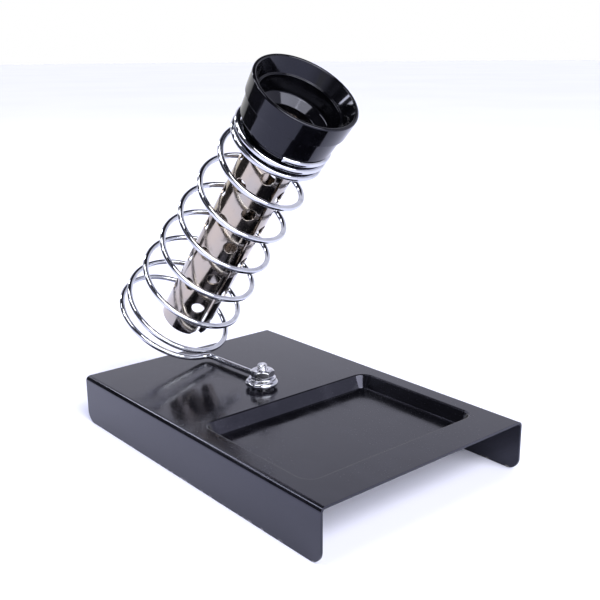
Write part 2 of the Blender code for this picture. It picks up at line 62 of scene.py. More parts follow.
camera_data = bpy.data.cameras.new("camera")
camera_data.sensor_width = SENSOR_WIDTH
camera_data.lens = CAMERA_LENS
camera_data.clip_start = CAMERA_NEAR
camera = bpy.data.objects.new("camera", camera_data)
camera.matrix_world = (
    Matrix.Translation(CAMERA_AT)
    @ Matrix.Rotation(-CAMERA_YAW, 4, "Z")
    @ Matrix.Rotation(math.pi / 2 - CAMERA_PITCH, 4, "X")
    @ Matrix.Rotation(CAMERA_ROLL, 4, "Z")
)
bpy.context.scene.collection.objects.link(camera)
bpy.context.scene.camera = camera
bpy.context.scene.view_settings.view_transform = "Standard"


# ---------------------------------------------------------------- floor and light
# A pale matt floor in a white tent with a dark ceiling. A small key light stands high behind the
# camera to its right, and three bars of light to the left and beyond the stand. The tent's dark
# panels and a black flag are seen only in reflections.
def linear(code):
    """A linear colour from a six-figure sRGB code."""
    parts = [int(code[index : index + 2], 16) / 255 for index in (0, 2, 4)]
    parts = [part / 12.92 if part <= 0.04045 else ((part + 0.055) / 1.055) ** 2.4 for part in parts]
    return (*parts, 1.0)


def add_node(tree, kind, values=None, links=None, **settings):
    """A node with its settings, its input values and the sockets that feed it."""
    item = tree.nodes.new(kind)
    for key, value in settings.items():
        setattr(item, key, value)
    for key, value in (values or {}).items():
        item.inputs[key].default_value = value
    for key, socket in (links or {}).items():
        tree.links.new(socket, item.inputs[key])
    return item


def remap(tree, socket, low, high, out_low=0.0, out_high=1.0):
    """A smooth step of a value from one range to another."""
    values = {"From Min": low, "From Max": high, "To Min": out_low, "To Max": out_high}
    step = add_node(tree, "ShaderNodeMapRange", values, {"Value": socket}, interpolation_type="SMOOTHSTEP")
    return step.outputs["Result"]


def maths(tree, operation, *terms):
    """One sum of sockets and numbers."""
    item = add_node(tree, "ShaderNodeMath", operation=operation)
    for slot, term in enumerate(terms):
        if isinstance(term, (int, float)):
            item.inputs[slot].default_value = term
        else:
            tree.links.new(term, item.inputs[slot])
    return item.outputs["Value"]


def mix_colours(tree, share, first, second):
    """One colour turning into another as share goes from 0 to 1. Each is a colour or a socket."""
    item = add_node(tree, "ShaderNodeMix", links={0: share}, data_type="RGBA")
    for slot, colour in ((6, first), (7, second)):
        if isinstance(colour, tuple):
            item.inputs[slot].default_value = colour
        else:
            tree.links.new(colour, item.inputs[slot])
    return item.outputs[2]


def noise(tree, place, size, detail=2.0, stretch=(1.0, 1.0, 1.0)):
    """Noise whose features are about size metres across, drawn out along an axis by its stretch."""
    scale = [1 / (size * part) for part in stretch]
    mapping = add_node(tree, "ShaderNodeMapping", {"Scale": scale}, {"Vector": place})
    values = {"Scale": 1.0, "Detail": detail}
    item = add_node(tree, "ShaderNodeTexNoise", values, {"Vector": mapping.outputs["Vector"]})
    return item.outputs[0]


def start_material(name, **shader_values):
    """A new node material, its tree, its shader and its coordinates in metres."""
    material = bpy.data.materials.new(name)
    material.use_nodes = True
    tree = material.node_tree
    tree.nodes.clear()
    shader = add_node(tree, "ShaderNodeBsdfPrincipled", shader_values)
    add_node(tree, "ShaderNodeOutputMaterial", links={"Surface": shader.outputs["BSDF"]})
    coordinates = add_node(tree, "ShaderNodeTexCoord")
    return material, tree, shader, coordinates


def add_bump(tree, shader, height, depth, strength=1.0):
    """Raises the surface by a height from 0 to 1 times depth metres, over any bump it already has."""
    bump = add_node(tree, "ShaderNodeBump", {"Strength": strength, "Distance": depth}, {"Height": height})
    if shader.inputs["Normal"].is_linked:
        tree.links.new(shader.inputs["Normal"].links[0].from_socket, bump.inputs["Normal"])
    tree.links.new(bump.outputs["Normal"], shader.inputs["Normal"])


def area_light(name, place, target, width, height, power, colour):
    data = bpy.data.lights.new(name, "AREA")
    data.shape = "RECTANGLE"
    data.size = width
    data.size_y = height
    data.energy = power
    data.color = linear(colour)[:3]
    light = bpy.data.objects.new(name, data)
    light.location = place
    light.rotation_euler = (Vector(target) - Vector(place)).to_track_quat("-Z", "Y").to_euler()
    bpy.context.scene.collection.objects.link(light)


# Floor: matt background paper, a disc out to the horizon
FLOOR_RADIUS = 12.0
FLOOR_DROP = 0.1 * MM            # below the feet, so that the two faces aren't in one plane
PAPER_COLOURS = (linear("E7E9FE"), linear("EAECFF"))

floor_shape = bmesh.new()
bmesh.ops.create_circle(floor_shape, cap_ends=True, segments=96, radius=FLOOR_RADIUS)
floor_mesh = bpy.data.meshes.new("floor")
floor_shape.to_mesh(floor_mesh)
floor_shape.free()
floor = bpy.data.objects.new("floor", floor_mesh)
floor.location = (0.0, 0.0, -FLOOR_DROP)
bpy.context.scene.collection.objects.link(floor)
floor_paper, tree, shader, coordinates = start_material("floor_paper", Roughness=0.9)
mottle = remap(tree, noise(tree, coordinates.outputs["Object"], 0.5), 0.3, 0.7)
paper_colour = mix_colours(tree, mottle, *PAPER_COLOURS)
tree.links.new(paper_colour, shader.inputs["Base Color"])
floor_mesh.materials.append(floor_paper)

# Flag: a black card on the floor to the left, which draws dark lines along the plated wire. It is
# seen only in reflections
FLAG_SIZE = (0.9, 0.5)
FLAG_DISTANCE = 0.6
CARD_COLOURS = (linear("0C0C0E"), linear("121214"))

flag_mesh = bpy.data.meshes.new("black_flag")
flag_shape = bmesh.new()
bmesh.ops.create_grid(flag_shape, x_segments=1, y_segments=1, size=0.5)
flag_shape.to_mesh(flag_mesh)
flag_shape.free()
flag = bpy.data.objects.new("black_flag", flag_mesh)
flag.scale = (*FLAG_SIZE, 1.0)
flag.rotation_euler = (math.pi / 2, 0.0, math.pi / 2 - CAMERA_YAW)
flag.location = (
    -FLAG_DISTANCE * math.cos(CAMERA_YAW),
    FLAG_DISTANCE * math.sin(CAMERA_YAW),
    FLAG_SIZE[1] / 2,
)
bpy.context.scene.collection.objects.link(flag)
flag_card, tree, shader, coordinates = start_material("black_flag_card", Roughness=0.95)
nap = remap(tree, noise(tree, coordinates.outputs["Object"], 0.02), 0.3, 0.7)
tree.links.new(mix_colours(tree, nap, *CARD_COLOURS), shader.inputs["Base Color"])
flag_mesh.materials.append(flag_card)
flag.visible_camera = False
flag.visible_shadow = False
flag.visible_diffuse = False

# Tent: directions are measured from the stand, forward being the way the camera looks
FORWARD = Vector((math.sin(CAMERA_YAW), math.cos(CAMERA_YAW), 0.0))
RIGHT = Vector((math.cos(CAMERA_YAW), -math.sin(CAMERA_YAW), 0.0))
TENT_HORIZON = linear("FFFFFF")
TENT_WALL = linear("EFEFFE")
TENT_TOP = linear("2C2C34")
WALL_RISE = (0.06, 0.2)                 # heights in the tent go from 0 at the horizon to 1 overhead
TOP_RISE = (0.66, 0.74)
SIDE_MIDDLE = math.radians(-88.0)       # a dark panel to the left of the camera, seen from the stand
SIDE_EDGE = (math.radians(48.0), math.radians(26.0))
SIDE_FADE = (0.5, 0.8)
TENT_SIDE = linear("4A4A52")
OPENING_EDGE = (math.radians(62.0), math.radians(34.0))     # the tent's opening, behind the camera
OPENING_FADE = (0.72, 0.9)
OPENING_RISE = (0.12, 0.34)
TENT_OPENING = linear("3C3C42")
GAP_MIDDLE = math.radians(34.0)         # a dark gap to the right of the camera
GAP_EDGE = (math.radians(27.0), math.radians(20.0))
GAP_FADE = (0.45, 0.75)
TENT_GAP = linear("26262C")

world = bpy.data.worlds.new("white_tent")
world.use_nodes = True
bpy.context.scene.world = world
tree = world.node_tree
direction = add_node(tree, "ShaderNodeTexCoord").outputs["Generated"]
height = add_node(tree, "ShaderNodeSeparateXYZ", links={0: direction}).outputs["Z"]
level = add_node(tree, "ShaderNodeVectorMath", {1: (1.0, 1.0, 0.0)}, {0: direction}, operation="MULTIPLY")
level = add_node(tree, "ShaderNodeVectorMath", links={0: level.outputs["Vector"]}, operation="NORMALIZE")


def tent_panel(middle, edge, fade):
    """How far a direction lies in an upright panel, which fades out between two heights."""
    way = RIGHT * math.sin(middle) - FORWARD * math.cos(middle)
    links = {0: level.outputs["Vector"]}
    toward = add_node(tree, "ShaderNodeVectorMath", {1: way}, links, operation="DOT_PRODUCT")
    inside = remap(tree, toward.outputs["Value"], *[math.cos(angle) for angle in edge])
    return maths(tree, "MULTIPLY", inside, remap(tree, height, *fade, 1.0, 0.0))


wall = mix_colours(tree, remap(tree, height, *WALL_RISE), TENT_HORIZON, TENT_WALL)
tent_colour = mix_colours(tree, remap(tree, height, *TOP_RISE), wall, TENT_TOP)
side_panel = tent_panel(SIDE_MIDDLE, SIDE_EDGE, SIDE_FADE)
tent_colour = mix_colours(tree, side_panel, tent_colour, TENT_SIDE)
opening = tent_panel(0.0, OPENING_EDGE, OPENING_FADE)
opening = maths(tree, "MULTIPLY", opening, remap(tree, height, *OPENING_RISE))
tent_colour = mix_colours(tree, opening, tent_colour, TENT_OPENING)
gap_panel = tent_panel(GAP_MIDDLE, GAP_EDGE, GAP_FADE)
tent_colour = mix_colours(tree, gap_panel, tent_colour, TENT_GAP)
seen = add_node(tree, "ShaderNodeLightPath").outputs["Is Camera Ray"]
tent_colour = mix_colours(tree, seen, tent_colour, TENT_HORIZON)   # the panels are only reflected
tree.links.new(tent_colour, tree.nodes["Background"].inputs["Color"])

# Lights: a key for the cup and flanges, a softer one overhead, three bars for the cup's mouth, and a
# wide fill that whitens the floor. Powers are in watts and places in metres
KEY_AT = RIGHT * 0.414 - FORWARD * 0.713 + Vector((0.0, 0.0, 0.93))
KEY_AIM = (0.0, 0.0, 0.14)
KEY_SIZE = (0.36, 0.22)
KEY_POWER = 2.6
TOP_AT = -FORWARD * 0.15 - RIGHT * 0.35 + Vector((0.0, 0.0, 1.15))
TOP_AIM = (0.0, 0.0, 0.05)
TOP_SIZE = (0.6, 0.4)
TOP_POWER = 4.5
WINDOW_BARS = [(-96.0, 0.14), (-72.0, 0.24), (-50.0, 0.16)]     # (bearing in degrees, width)
BAR_DISTANCE = 1.2
BAR_HEIGHT = Vector((0.0, 0.0, 0.98))
BAR_AIM = (0.0, 0.0, 0.13)
BAR_LENGTH = 0.34
BAR_POWER = 2.4
FILL_WAY = FORWARD * 0.8 - RIGHT * 0.6 - Vector((0.0, 0.0, 0.7))
FILL_STRENGTH = 4.9
FILL_SPREAD = math.radians(60.0)

area_light("key_light", KEY_AT, KEY_AIM, *KEY_SIZE, KEY_POWER, "FFFEFC")
area_light("top_light", TOP_AT, TOP_AIM, *TOP_SIZE, TOP_POWER, "FBFBFF")
for degrees, bar_width in WINDOW_BARS:
    bearing = math.radians(degrees)
    bar_at = (RIGHT * math.sin(bearing) + FORWARD * math.cos(bearing)) * BAR_DISTANCE + BAR_HEIGHT
    area_light("window_bar", bar_at, BAR_AIM, bar_width, BAR_LENGTH, BAR_POWER, "F6F8FF")
fill_data = bpy.data.lights.new("fill_light", "SUN")
fill_data.energy = FILL_STRENGTH
fill_data.angle = FILL_SPREAD
fill = bpy.data.objects.new("fill_light", fill_data)
fill.rotation_euler = FILL_WAY.to_track_quat("-Z", "Y").to_euler()
bpy.context.scene.collection.objects.link(fill)


# ---------------------------------------------------------------- base plate
# One mild steel sheet, blanked, pressed with a sponge tray, pierced for the screw and folded down
# both sides into a channel, then stoved in black gloss enamel. It stands on its two folded edges.
def profile_arc(centre, radius, start, end, steps):
    """Points on an arc, both ends included, as pairs."""
    x, y = centre[0], centre[1]
    angles = [start + (end - start) * step / steps for step in range(steps + 1)]
    return [(x + radius * math.cos(angle), y + radius * math.sin(angle)) for angle in angles]


def make_piece(name, mesh, material, body, nodes, weighted=True):
    """A smooth shaded piece that stands for CAD nodes and moves with their body."""
    piece = bpy.data.objects.new(name, mesh)
    bpy.context.scene.collection.objects.link(piece)
    mesh.materials.append(material)
    if weighted:
        mesh.shade_smooth()
        mesh.set_sharp_from_angle(angle=math.radians(40.0))
        even = piece.modifiers.new("even_shading", "WEIGHTED_NORMAL")
        even.keep_sharp = True
    if nodes:
        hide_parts(*nodes)
    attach(piece, body)
    return piece


def soften_edges(piece, name, width, segments, sharpest):
    """Rounds every edge that turns by more than an angle."""
    bevel = piece.modifiers.new(name, "BEVEL")
    bevel.width = width
    bevel.segments = segments
    bevel.limit_method = "ANGLE"
    bevel.angle_limit = sharpest


PLATE_LOW, PLATE_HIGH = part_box("base_plate")
PLATE_SHEET = 0.9 * MM
PLATE_FOLD = 2.0 * MM            # outside radius of the folds
PLATE_CORNER = 5.0 * MM          # rounded lower corners of the flanges
PLATE_EDGE = 0.12 * MM           # paint rounds the sheet's cut edges
TRAY_SIDE = 7.75 * MM            # from the base's side to the tray's rim
TRAY_FRONT = 15.0 * MM           # from the base's front to the tray's rim
TRAY_LENGTH = 61.5 * MM
TRAY_DEPTH = 5.5 * MM
TRAY_CORNER = 6.0 * MM
TRAY_RIM_ROLL = 1.0 * MM
TRAY_FLOOR_ROLL = 1.3 * MM
TRAY_WALL = math.radians(63.0)   # from level
SCREW_HOLE_RADIUS = 2.3 * MM
SCREW_AT = Vector(frame["joints"][0]["pos_m"])
ENAMEL_BLACK = linear("08080C")
ENAMEL_HAZE = linear("101015")
ENAMEL_DUSTY = linear("2A2A30")
PAINT_TINT = linear("D8DAF6")
BARE_STEEL = linear("8E8C88")


def rounded_rectangle(middle, half_x, half_y, radius, steps):
    points = []
    for quarter, (sign_x, sign_y) in enumerate(((1, 1), (-1, 1), (-1, -1), (1, -1))):
        centre = (middle[0] + sign_x * (half_x - radius), middle[1] + sign_y * (half_y - radius))
        start = quarter * math.pi / 2
        points += profile_arc(centre, radius, start, start + math.pi / 2, steps)
    return points


def tray_section():
    """(height below the plate, inset from the rim) up the tray's wall, from its floor to its rim."""
    straight = TRAY_DEPTH - (TRAY_RIM_ROLL + TRAY_FLOOR_ROLL) * (1 - math.cos(TRAY_WALL))
    inset = straight / math.tan(TRAY_WALL) + (TRAY_RIM_ROLL + TRAY_FLOOR_ROLL) * math.sin(TRAY_WALL)
    places = []
    for step in range(9):
        angle = TRAY_WALL * step / 8
        drop = TRAY_DEPTH - TRAY_FLOOR_ROLL * (1 - math.cos(angle))
        places.append((drop, inset - TRAY_FLOOR_ROLL * math.sin(angle)))
    for step in range(9):
        angle = TRAY_WALL * (8 - step) / 8
        places.append((TRAY_RIM_ROLL * (1 - math.cos(angle)), TRAY_RIM_ROLL * math.sin(angle)))
    return places


def sheet_surface():
    """The sheet's upper and outer face: tray, top plate, two folds and two flanges."""
    shape = bmesh.new()
    top = PLATE_HIGH.z
    half_x = (PLATE_HIGH.x - PLATE_LOW.x) / 2 - TRAY_SIDE
    middle = (0.0, PLATE_LOW.y + TRAY_FRONT + TRAY_LENGTH / 2)
    rings = []
    for drop, inset in tray_section():
        corner = TRAY_CORNER - inset
        outline = rounded_rectangle(middle, half_x - inset, TRAY_LENGTH / 2 - inset, corner, 10)
        rings.append([shape.verts.new((x, y, top - drop)) for x, y in outline])
    shape.faces.new(rings[0])
    for lower, upper in zip(rings, rings[1:]):
        for index in range(len(lower)):
            after = (index + 1) % len(lower)
            shape.faces.new((lower[index], lower[after], upper[after], upper[index]))
    flat_x = PLATE_HIGH.x - PLATE_FOLD
    near_y, far_y = PLATE_LOW.y, PLATE_HIGH.y
    corners = [(-flat_x, near_y), (flat_x, near_y), (flat_x, far_y), (-flat_x, far_y)]
    border = [shape.verts.new((x, y, top)) for x, y in corners]
    circle = profile_arc(SCREW_AT, SCREW_HOLE_RADIUS, 0.0, 2 * math.pi, 40)[:-1]
    hole = [shape.verts.new((x, y, top)) for x, y in circle]
    loops = (border, rings[-1], hole)
    every = [vert for loop in loops for vert in loop]
    for triangle in tessellate_polygon([[vert.co for vert in loop] for loop in loops]):
        shape.faces.new([every[index] for index in triangle])
    fold_z = top - PLATE_FOLD
    for side, near, far in ((-1, border[0], border[3]), (1, border[1], border[2])):
        before = (near, far)
        for across, up in profile_arc((0.0, 0.0), PLATE_FOLD, math.pi / 2, 0.0, 12)[1:]:
            x = side * (flat_x + across)
            after = [shape.verts.new((x, y, fold_z + up)) for y in (near_y, far_y)]
            shape.faces.new((before[0], before[1], after[1], after[0]))
            before = after
        ends = ((near_y + PLATE_CORNER, math.pi), (far_y - PLATE_CORNER, 1.5 * math.pi))
        lower = []
        for y, start in ends:
            lower += profile_arc((y, PLATE_CORNER), PLATE_CORNER, start, start + math.pi / 2, 10)
        flange = [shape.verts.new((side * PLATE_HIGH.x, y, z)) for y, z in lower]
        shape.faces.new([before[0], *flange, before[1]])
    bmesh.ops.recalc_face_normals(shape, faces=shape.faces)
    shape.normal_update()
    summit = Vector((0.0, 0.0, top))
    nearest = min(shape.faces, key=lambda face: (face.calc_center_median() - summit).length)
    if nearest.normal.z < 0:
        bmesh.ops.reverse_faces(shape, faces=shape.faces)
    mesh = bpy.data.meshes.new("base_plate")
    shape.to_mesh(mesh)
    shape.free()
    return mesh


# Black gloss stoving enamel: a fine orange peel, cloudy gloss, a grey haze from handling, wiping
# marks, dust, and steel showing in small chips along the sheet's lower edges
enamel, tree, shader, coordinates = start_material("black_stoving_enamel", IOR=1.52)
shader.inputs["Specular Tint"].default_value = PAINT_TINT
place = coordinates.outputs["Object"]
cloud = remap(tree, noise(tree, place, 28 * MM, 4.0), 0.35, 0.65)
wipes = remap(tree, noise(tree, place, 1.1 * MM, 3.0, (1.0, 28.0, 1.0)), 0.56, 0.72)
specks = remap(tree, noise(tree, place, 0.55 * MM, 1.0), 0.72, 0.76)
dust = maths(tree, "MULTIPLY", specks, cloud)
height = add_node(tree, "ShaderNodeSeparateXYZ", links={0: place}).outputs["Z"]
low_edge = remap(tree, height, 0.15 * MM, 0.9 * MM, 1.0, 0.0)
chips = remap(tree, noise(tree, place, 2.2 * MM, 5.0), 0.56, 0.6)
bare = maths(tree, "MULTIPLY", low_edge, chips)
handling = remap(tree, noise(tree, place, 11 * MM, 5.0, (1.0, 1.6, 1.0)), 0.42, 0.68)
enamel_colour = mix_colours(tree, handling, ENAMEL_BLACK, ENAMEL_HAZE)
enamel_colour = mix_colours(tree, dust, enamel_colour, ENAMEL_DUSTY)
tree.links.new(mix_colours(tree, bare, enamel_colour, BARE_STEEL), shader.inputs["Base Color"])
tree.links.new(bare, shader.inputs["Metallic"])
gloss = maths(tree, "ADD", remap(tree, cloud, 0.0, 1.0, 0.11, 0.16), maths(tree, "MULTIPLY", wipes, 0.05))
gloss = maths(tree, "ADD", gloss, maths(tree, "MULTIPLY", dust, 0.35))
gloss = maths(tree, "ADD", gloss, maths(tree, "MULTIPLY", handling, 0.05))
tree.links.new(gloss, shader.inputs["Roughness"])
add_bump(tree, shader, noise(tree, place, 1.6 * MM, 1.0), 0.006 * MM)
add_bump(tree, shader, noise(tree, place, 9 * MM, 1.0), 0.02 * MM)
add_bump(tree, shader, bare, -0.04 * MM)

base_plate = make_piece(
    "base_plate_pressing",
    sheet_surface(),
    enamel,
    "base",
    ["base_plate"],
)
base_plate.modifiers.clear()
thickness = base_plate.modifiers.new("sheet", "SOLIDIFY")
thickness.thickness = PLATE_SHEET
thickness.offset = -1.0
thickness.use_even_offset = True
soften_edges(base_plate, "paint_edge", PLATE_EDGE, 3, math.radians(50.0))
even = base_plate.modifiers.new("even_shading", "WEIGHTED_NORMAL")
even.keep_sharp = True


# ---------------------------------------------------------------- clamp screw
# A No. 8 pan head machine screw, 32 threads to the inch, cold headed with a cross recess and rolled
# thread, nickel plated. It stands up through the plate with its head underneath.
def lathe(shape, section, segments, closed=True):
    """Turns (radius, height) points about Z. A point on the axis becomes one vertex."""
    rings = []
    for radius, z in section:
        if radius < 1e-7:
            rings.append([shape.verts.new((0.0, 0.0, z))] * segments)
            continue
        turns = [2 * math.pi * index / segments for index in range(segments)]
        rings.append([shape.verts.new((radius * math.cos(a), radius * math.sin(a), z)) for a in turns])
    pairs = list(zip(rings, rings[1:]))
    if closed:
        pairs.append((rings[-1], rings[0]))
    for lower, upper in pairs:
        for index in range(segments):
            after = (index + 1) % segments
            corners = []
            for vert in (lower[index], lower[after], upper[after], upper[index]):
                if vert not in corners:
                    corners.append(vert)
            shape.faces.new(corners)


def rounded_corner(before, corner, after, radius, steps):
    """Points on the arc that rounds a corner between two straight lines."""
    back = (before - corner).normalized()
    ahead = (after - corner).normalized()
    half = back.angle(ahead) / 2
    centre = corner + (back + ahead).normalized() * radius / math.sin(half)
    start = corner + back * radius / math.tan(half) - centre
    end = corner + ahead * radius / math.tan(half) - centre
    sweep = start.angle(end)
    points = []
    for step in range(steps + 1):
        share = step / steps
        spot = start * math.sin((1 - share) * sweep) + end * math.sin(share * sweep)
        points.append(centre + spot / math.sin(sweep))
    return points


def filleted_section(corners, steps=5):
    """A closed section whose (radius, height, fillet) corners are rounded."""
    points = []
    for index, (x, y, fillet) in enumerate(corners):
        if fillet == 0.0:
            points.append((x, y))
            continue
        before = Vector(corners[index - 1][:2])
        after = Vector(corners[(index + 1) % len(corners)][:2])
        points += [tuple(spot) for spot in rounded_corner(before, Vector((x, y)), after, fillet, steps)]
    return points


def finish_mesh(shape, name, place=None):
    """Moves a finished shape into place and makes its mesh, faces outwards."""
    bmesh.ops.recalc_face_normals(shape, faces=shape.faces)
    if place is not None:
        bmesh.ops.transform(shape, matrix=place, verts=shape.verts)
    mesh = bpy.data.meshes.new(name)
    shape.to_mesh(mesh)
    shape.free()
    return mesh


SCREW_LOW, SCREW_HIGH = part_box("clamp_screw")
SCREW_RADIUS = 2.08 * MM
THREAD_PITCH = 0.794 * MM
THREAD_DEPTH = 0.43 * MM
THREAD_SEGMENTS = 40
THREAD_CHAMFER = 0.5 * MM        # at the screw's upper end
HEAD_RADIUS = 4.1 * MM
HEAD_HEIGHT = 3.0 * MM
HEAD_ROLL = 1.3 * MM
HEAD_EDGE = 0.15 * MM
RECESS_REACH = 2.1 * MM
RECESS_WIDTH = 0.95 * MM
RECESS_DEPTH = 1.8 * MM
RECESS_TAPER = 0.62
NICKEL_BRIGHT = linear("DDDEE4")
NICKEL_DULL = linear("B6B7BE")
STAND_TURN = math.radians(2.5)   # the arm is clamped this far round from the centre line
screw_place = Matrix.Translation((SCREW_AT.x, SCREW_AT.y, 0.0)) @ Matrix.Rotation(STAND_TURN, 4, "Z")


def thread_rows(shape, radius, depth, pitch, low, high, end_chamfer):
    """A helical ridge and groove as a closed shank from low to high, with its upper end chamfered."""
    rows = round((high - low) / pitch * 8)
    rings = []
    for row in range(rows + 1):
        z = low + (high - low) * row / rows
        limit = radius - max(z - high + end_chamfer, 0.0)
        ring = []
        for index in range(THREAD_SEGMENTS):
            share = index / THREAD_SEGMENTS
            phase = ((z - low) / pitch - share) % 1.0
            crest = min(abs(phase - 0.5) * 2.4, 1.0)
            spot = min(radius - depth * (1 - crest), limit)
            angle = 2 * math.pi * share
            ring.append(shape.verts.new((spot * math.cos(angle), spot * math.sin(angle), z)))
        rings.append(ring)
    for lower, upper in zip(rings, rings[1:]):
        for index in range(THREAD_SEGMENTS):
            after = (index + 1) % THREAD_SEGMENTS
            shape.faces.new((lower[index], lower[after], upper[after], upper[index]))
    shape.faces.new(rings[0])
    shape.faces.new(rings[-1])


def plated_steel(name, roughness):
    """Bright nickel on steel: dull in patches, with fine tumbling marks."""
    material, tree, shader, coordinates = start_material(name, Metallic=1.0)
    place = coordinates.outputs["Object"]
    patches = remap(tree, noise(tree, place, 2.5 * MM, 4.0), 0.35, 0.7)
    tree.links.new(mix_colours(tree, patches, NICKEL_BRIGHT, NICKEL_DULL), shader.inputs["Base Color"])
    tree.links.new(remap(tree, patches, 0.0, 1.0, roughness, roughness + 0.1), shader.inputs["Roughness"])
    add_bump(tree, shader, noise(tree, place, 0.35 * MM, 3.0), 0.004 * MM)
    return material


screw_nickel = plated_steel("nickel_plated_screw_steel", roughness=0.08)
shape = bmesh.new()
head_top = SCREW_LOW.z + HEAD_HEIGHT
thread_rows(shape, SCREW_RADIUS, THREAD_DEPTH, THREAD_PITCH, head_top, SCREW_HIGH.z, THREAD_CHAMFER)
head_corners = [
    (0.0, SCREW_LOW.z, 0.0),
    (HEAD_RADIUS, SCREW_LOW.z, HEAD_ROLL),
    (HEAD_RADIUS, head_top, HEAD_EDGE),
    (0.0, head_top, 0.0),
]
lathe(shape, filleted_section(head_corners, 8), 64, closed=False)
screw = make_piece(
    "pan_head_clamp_screw",
    finish_mesh(shape, "pan_head_clamp_screw", screw_place),
    screw_nickel,
    "base",
    ["clamp_screw"],
)
recess_shape = bmesh.new()
for turn in (0.0, math.pi / 2):
    arm = Matrix.Rotation(turn, 4, "Z") @ Matrix.Translation((0.0, 0.0, SCREW_LOW.z))
    arm = arm @ Matrix.Diagonal((2 * RECESS_REACH, RECESS_WIDTH, 2 * RECESS_DEPTH, 1.0))
    cut = bmesh.ops.create_cube(recess_shape, size=1.0, matrix=arm)
    for vert in cut["verts"]:
        if vert.co.z > SCREW_LOW.z:
            vert.co.x *= RECESS_TAPER
            vert.co.y *= RECESS_TAPER
recess_mesh = finish_mesh(recess_shape, "cross_recess_cutter", screw_place)
recess = bpy.data.objects.new("cross_recess_cutter", recess_mesh)
bpy.context.scene.collection.objects.link(recess)
recess.hide_render = True
recess.hide_viewport = True
# Known fault: this cut takes the whole head away, because the two arms of its cutter cross each
# other and use_self is off. Only the shank is left
stamped = screw.modifiers.new("cross_recess", "BOOLEAN")
stamped.object = recess
stamped.operation = "DIFFERENCE"
stamped.solver = "EXACT"
screw.modifiers.move(1, 0)


# ---------------------------------------------------------------- lock washer
# An external tooth lock washer, stamped from spring steel, each tooth twisted so that it bites the
# enamel under the spring's eye. Nickel plated.
LOCK_LOW, LOCK_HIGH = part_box("lock_washer")
LOCK_TEETH = 12
LOCK_RING = (2.4 * MM, 4.5 * MM)         # inner and outer radius of its ring
LOCK_TOOTH_END = 5.75 * MM
LOCK_TOOTH_WIDTH = 1.5 * MM
LOCK_TWIST = math.radians(17.0)
LOCK_STOCK = 0.38 * MM
LOCK_RING_EDGE = 0.06 * MM               # its ring's edges, and how far the teeth run into it
LOCK_TOOTH_EDGE = 0.05 * MM

shape = bmesh.new()
lock_middle = (LOCK_LOW.z + LOCK_HIGH.z) / 2
lock_low, lock_high = lock_middle - LOCK_STOCK / 2, lock_middle + LOCK_STOCK / 2
ring_corners = [
    (LOCK_RING[0], lock_low, LOCK_RING_EDGE),
    (LOCK_RING[0], lock_high, LOCK_RING_EDGE),
    (LOCK_RING[1], lock_high, LOCK_RING_EDGE),
    (LOCK_RING[1], lock_low, LOCK_RING_EDGE),
]
lathe(shape, filleted_section(ring_corners, 3), 72)
reach = LOCK_TOOTH_END - LOCK_RING[1] + LOCK_RING_EDGE
for tooth in range(LOCK_TEETH):
    blade = Matrix.Translation((0.0, 0.0, lock_middle))
    blade = blade @ Matrix.Rotation(2 * math.pi * tooth / LOCK_TEETH, 4, "Z")
    blade = blade @ Matrix.Translation((LOCK_TOOTH_END - reach / 2, 0.0, 0.0))
    blade = blade @ Matrix.Rotation(LOCK_TWIST, 4, "X")
    blade = blade @ Matrix.Diagonal((reach, LOCK_TOOTH_WIDTH, LOCK_STOCK, 1.0))
    bmesh.ops.create_cube(shape, size=1.0, matrix=blade)
lock_nickel = plated_steel("nickel_plated_spring_steel", roughness=0.14)
lock_washer = make_piece(
    "tooth_lock_washer",
    finish_mesh(shape, "tooth_lock_washer", screw_place),
    lock_nickel,
    "base",
    ["lock_washer"],
)
soften_edges(lock_washer, "stamped_edge", LOCK_TOOTH_EDGE, 2, math.radians(50.0))
lock_washer.modifiers.move(1, 0)


# ---------------------------------------------------------------- flat washer
# A plain stamped washer between the nut and the wire: rounded on its punched face, with a small
# burr edge on the other. Nickel plated.
WASHER_LOW, WASHER_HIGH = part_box("flat_washer")
WASHER_BORE = 2.3 * MM
WASHER_RIM = (WASHER_HIGH.x - WASHER_LOW.x) / 2

washer_corners = [
    (WASHER_BORE, WASHER_LOW.z, 0.05 * MM),
    (WASHER_RIM, WASHER_LOW.z, 0.06 * MM),
    (WASHER_RIM, WASHER_HIGH.z, 0.25 * MM),
    (WASHER_BORE, WASHER_HIGH.z, 0.12 * MM),
]
shape = bmesh.new()
lathe(shape, filleted_section(washer_corners), 96)
washer_nickel = plated_steel("nickel_plated_washer_steel", roughness=0.08)
make_piece(
    "flat_washer_stamping",
    finish_mesh(shape, "flat_washer_stamping", screw_place),
    washer_nickel,
    "base",
    ["flat_washer"],
)


# ---------------------------------------------------------------- clamp nut
# A cold formed hexagon nut, 8.7 mm across flats, its corners turned off top and bottom and its
# thread countersunk. Nickel plated.
NUT_LOW, NUT_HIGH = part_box("clamp_nut")
NUT_FLAT = 4.35 * MM             # half across the flats
NUT_CORNER = NUT_FLAT / math.cos(math.pi / 6)
NUT_SET = math.radians(20.0)
NUT_CHAMFER = 0.5 * MM
NUT_BORE = 2.1 * MM
NUT_SINK = 0.35 * MM
NUT_FACE_INSET = 0.15 * MM       # its round faces end this far inside the flats
NUT_EDGE = 0.1 * MM
NUT_ROUND = 96                   # points round each ring

